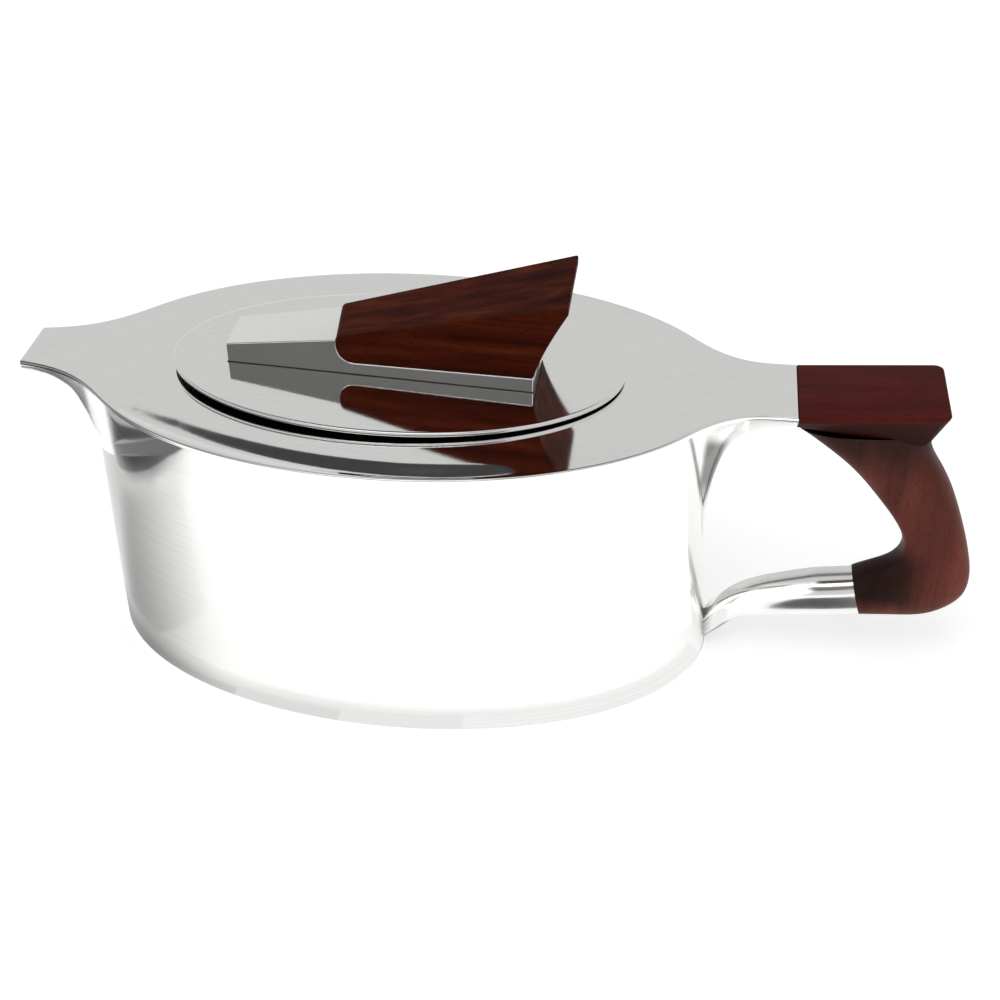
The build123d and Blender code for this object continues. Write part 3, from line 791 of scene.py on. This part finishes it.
def sky_card(name, centre, azimuths, lifts, level, far=1500.0):
    """Part of a sphere round centre. Azimuth is measured from +Y towards +X, in degrees."""
    rows = []
    for lift in np.radians(np.linspace(*lifts, 12)):
        row = []
        for az in np.radians(np.linspace(*azimuths, 16)):
            row.append((math.sin(az) * math.cos(lift), math.cos(az) * math.cos(lift), math.sin(lift)))
        rows.append(row)
    card = grid_piece(name, np.array(rows) * far + np.array(centre))
    reflected_only(card, level)


def make_backdrop():
    """A white wall and ceiling far away, there only for the camera."""
    rows = []
    for lift in np.radians(np.linspace(-3, 90, 24)):
        row = []
        for turn in np.radians(np.linspace(0, 360, 49)[:-1]):
            row.append((math.cos(turn) * math.cos(lift), math.sin(turn) * math.cos(lift), math.sin(lift)))
        rows.append(row)
    dome = grid_piece("backdrop", np.array(rows) * BACKDROP_REACH, close_across=True)
    dome.data.materials.append(glow("backdrop", 1.0))
    dome.visible_diffuse = False
    dome.visible_glossy = False
    dome.visible_shadow = False


def floor_card(name, corners, level, height=0.3):
    points = np.array([(x, y, height) for x, y in corners], float)
    card = faces_piece(name, points, [tuple(range(len(corners)))])
    reflected_only(card, level)


def base_card(name, reach, turn, level, height):
    """A grey strip along the foot of the wall, between two angles in degrees: painted contact shadow on the
    floor.
    """
    angle = np.radians(np.linspace(*turn, 60))
    rows = []
    for out in (0.3, reach):
        x, y = (BASE_RX + out) * np.cos(angle), (BASE_RY + out) * np.sin(angle)
        rows.append(np.column_stack([x, y, np.full(60, height)]))
    reflected_only(grid_piece(name, rows), level)


def gap_card(name, x, near, far, low, high, level):
    """An upright card at one x, between the wall and the handle."""
    corners = np.array([(x, near, low), (x, far, low), (x, far, high), (x, near, high)], float)
    reflected_only(faces_piece(name, corners, [(0, 1, 2, 3)]), level)


# Parts of the room above the floor: name, centre, azimuths, lifts, level.
SKY_CARDS = [
    ("card_back", (-20, -45, 91), (-40, 10), (38.5, 47), 0.05),
    ("card_front", (-10, 0, 100), (-215, -62), (27, 60), 0.14),
    ("card_glow", (-30, 0, 100), (-50, -12), (8, 26), 0.69)]
# Nested grey cards off the spout end, painted shadow on the floor, from wide and pale to narrow and dark:
# reach behind, in front.
END_CARDS = [(20, 72), (17, 60), (14, 48), (11, 36), (9, 26), (7, 17), (5, 9)]
# Painted contact shadow on the floor along the foot of the wall: reach, angles, level.
FOOT_CARDS = [
    (8.0, (178, 352), 0.93), (6.0, (180, 285), 0.86), (4.5, (183, 262), 0.76), (3.0, (186, 240), 0.62)]
LEFT_CARD = [(-172, -100), (-169, -50), (-174, -8), (-186, 14), (-232, 14), (-262, -100)]
STRUT_CARD = [(107, -100), (142, -100), (142, -24), (107, -24)]


def make_cards():
    """What the polished silver sees of the room: its upper parts first, then the floor."""
    for card in SKY_CARDS:
        sky_card(*card)
    floor_card("card_left", LEFT_CARD, 0.17)
    for number, (far, near) in enumerate(END_CARDS):
        corners = [(-160, far - 8), (-118, 0.8 * far - 10), (-86, 0.5 * far - 18)]
        corners += [(-84, -18 - 0.55 * near), (-118, -10 - 0.8 * near), (-160, -8 - near)]
        floor_card(f"card_end_{number}", corners, 0.97 - 0.04 * number, 0.1 + 0.04 * number)
    for number, (reach, turn, level) in enumerate(FOOT_CARDS):
        base_card(f"card_foot_{number}", reach, turn, level, 0.45 + 0.05 * number)
    floor_card("card_strut", STRUT_CARD, 0.10)
    gap_card("card_gap", 97, -112, -6, 8, 84, 1.35)


# ---- finishes ---------------------------------------------------------------------------------
# Near-black silver: painted shade on the lid's collar, flange and underside and on the strainer, and the
# dark of the solder line.
SHADE_AND_SOLDER_DARK = (0.05, 0.048, 0.045)
STEEL_GREY = (0.55, 0.55, 0.56)
WALL_SILVER = silver("wall silver", 0.17, (20, 20, 1500), 0.000005)
DECK_SILVER = silver("deck silver", 0.07, (260, 3800, 3800), 0.0000025, cloud=0.02)
LID_SILVER = silver("lid silver", 0.07, (260, 3800, 3800), 0.0000025, cloud=0.02)
SHADE_AND_SOLDER_SILVER = silver("silver darkened for shade and solder", 0.4, (900, 900, 900), 0.00001, colour=SHADE_AND_SOLDER_DARK, toned=False)
PLAIN_SILVER = silver("plain silver", 0.17, (20, 20, 1500), 0.000005, toned=False)
STEEL = silver("screw steel", 0.3, (900, 900, 900), 0.000006, colour=STEEL_GREY, toned=False)
HANDLE_WOOD = wood(
    "handle wood", 2, (0.072, 0.014, 0.008), (0.100, 0.021, 0.012), (0.135, 0.030, 0.018))
# A darker copy of the handle wood for the head: painted shade on its dimly lit top.
SHADED_HEAD_WOOD = wood(
    "head wood darkened for shade", 0, (0.055, 0.005, 0.003), (0.078, 0.007, 0.004), (0.100, 0.011, 0.006), shine=0.08)
LID_WOOD = wood(
    "lid wood", 0, (0.018, 0.0012, 0.0006), (0.056, 0.0075, 0.0018), (0.105, 0.019, 0.005), shine=0.03)
# Looks of the imported nodes that are shown as they are; the near-black silver on the collar and flange is
# painted shade.
CAD_LOOKS = {
    "base_plate": PLAIN_SILVER, "upper_handle_pin": PLAIN_SILVER, "lower_handle_pin": PLAIN_SILVER,
    "lid_collar": SHADE_AND_SOLDER_SILVER, "lid_flange": SHADE_AND_SOLDER_SILVER, "finial_screws": STEEL}
# Foot of the painted dark reflection in the hollow on each side of the spout, where it meets the wall: (x,
# z).
HOLLOW_FOOT = [
    (-77.0, 68.8), (-74.5, 68.4), (-69.0, 71.0), (-63.5, 75.1),
    (-59.0, 79.4), (-54.8, 83.8), (-51.7, 86.4), (-47.0, 91.0)]


def hollow_dark_reflection(x, y, z):
    """1 in the hollow on each side of the spout, where a dark reflection is painted, and 0 outside it."""
    front = -88 + 0.45 * np.abs(y)
    foot = np.interp(x, *np.array(HOLLOW_FOOT).T)
    return ease(x, front - 0.8, front + 0.8) * ease(z, foot - 0.8, foot + 0.8)


def spout_painted_reflection(x, y, z):
    """Painted dark reflection in the hollow of the beak, paler above its waist."""
    waist = 78.3 + 0.66 * (x + 74.8)
    return 1 - (0.85 - 0.22 * ease(z, waist - 1, waist + 1)) * hollow_dark_reflection(x, y, z)


def wall_painted_shade(x, y, z):
    """Painted shade and reflection: the spout end of the wall is darker, most of all near its foot, and the
    dark reflection painted in the spout's hollow reaches onto it.
    """
    end_shade = 0.44 + 0.22 * (1 - z / DECK_UNDER)
    return np.minimum(1 - 0.70 * hollow_dark_reflection(x, y, z), 1 - end_shade * ease(x, -42, -80))


def socket_painted_shade(x, y, z):
    """Painted shade and dark reflection in the fold where the socket leaves the wall."""
    start = 84.3 + 0.06 * (z - 62)
    fold = ease(x, start, start + 2) * ease(x, 94, 90) * ease(z, 50, 62) * ease(z, 81, 75)
    return 1 - 0.75 * fold


def strut_painted_shade(x, y, z):
    """Painted shade underneath and at the root."""
    spots = np.array(STRUT_SECTIONS)
    below = np.interp(x, spots[:, 0], spots[:, 1]) + np.maximum(x - 122, 0) * 0.17 - z
    under = ease(below / np.interp(x, spots[:, 0], spots[:, 2]), 0.68, 0.84)
    return 1 - 0.6 * np.maximum(under, ease(x, 93, 89.5))


def deck_edge_painted_reflection(x, y, z):
    """A painted dark reflection along the edge round the lip."""
    from_edge = np.minimum(deck_half_width(x) - np.abs(y), x - TIP_X)
    return 1 - 0.75 * ease(from_edge, 0.4, 0.1) * ease(x, -45, -70)


def leg_painted_light(x, y, z):
    """Painted shade under the head and on top of the lower arm, and a painted highlight along the outer
    edge.
    """
    under_head = 1 - 0.72 * ease(z, 66, 83)
    arm_top = 1 - 0.85 * ease(x, 152, 143) * ease(z, 21, 27) * ease(z, 46, 38)
    edge_highlight = 1 + 0.5 * ease(x, 152, 161) * ease(z, 74, 50)
    return under_head * arm_top * edge_highlight


def head_painted_shade(x, y, z):
    """Painted shade below the slab edge."""
    below = DECK_TOP + (x - TANG_X) * (HEAD_TOP_Z - DECK_TOP) / (HEAD_TOP_X - TANG_X) - z
    return 1 - 0.72 * ease(below, 1.0, 1.9)


# ---- putting it together ----------------------------------------------------------------------
def make_pot():
    """The wall, what grows out of it, and the plate behind its throat."""
    wall = shade(paint(make_wall(), wall_painted_shade), WALL_SILVER, 50)
    stand_for(wall, "pot", "silver_body", "body_shell")
    spout = flare_piece("pot_spout", SPOUT_RIBS, 0.8)
    stand_for(shade(paint(spout, spout_painted_reflection), WALL_SILVER, 50), "pot", "silver_body", "spout_beak")
    socket = flare_piece("pot_socket", SOCKET_RIBS, 5.0)
    stand_for(shade(paint(socket, socket_painted_shade), WALL_SILVER, 50), "pot", "silver_body", "upper_socket")
    # The strainer's near-black silver is painted shade.
    stand_for(shade(make_strainer(), SHADE_AND_SOLDER_SILVER), "pot", "silver_inner", "strainer_plate")


def make_top():
    """The deck, and the lid with its grip."""
    stand_for(shade(make_solder(), SHADE_AND_SOLDER_SILVER), "lid", "silver_deck")
    deck = shade(paint(make_deck(), deck_edge_painted_reflection), DECK_SILVER)
    stand_for(deck, "pot", "silver_deck", "top_deck")
    sheet = darken_underside(shade(make_lid(), LID_SILVER), SHADE_AND_SOLDER_SILVER)
    stand_for(sheet, "lid", "silver_deck", "lid_plate")
    stand_for(shade(make_holder(), LID_SILVER), "lid", "silver_deck", "finial_holder")
    stand_for(shade(make_lid_wood(), LID_WOOD), "lid", "finial_wood", "finial_grip")


def make_handle():
    """The strut at the wall's foot, and the wood: a leg under a head."""
    strut = shade(paint(make_strut(), strut_painted_shade), WALL_SILVER, 50)
    stand_for(strut, "pot", "silver_body", "lower_strut")
    leg = shade(paint(make_grip(), leg_painted_light), HANDLE_WOOD, 50)
    stand_for(leg, "pot", "handle_wood", "handle_grip")
    head = shade(paint(make_head(), head_painted_shade), SHADED_HEAD_WOOD, 30)
    stand_for(head, "pot", "handle_wood")


def dress_packed_nodes():
    """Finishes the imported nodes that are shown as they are."""
    for node, material in CAD_LOOKS.items():
        slots = NODES[node].data.materials
        slots.clear()
        slots.append(material)


make_camera()
make_sky()
make_floor()
make_backdrop()
make_light("key", (-0.3, -0.6, 1.6), 1.2, 6.0)
make_cards()
make_pot()
make_top()
make_handle()
dress_packed_nodes()

bpy.context.scene.view_settings.view_transform = "Standard"
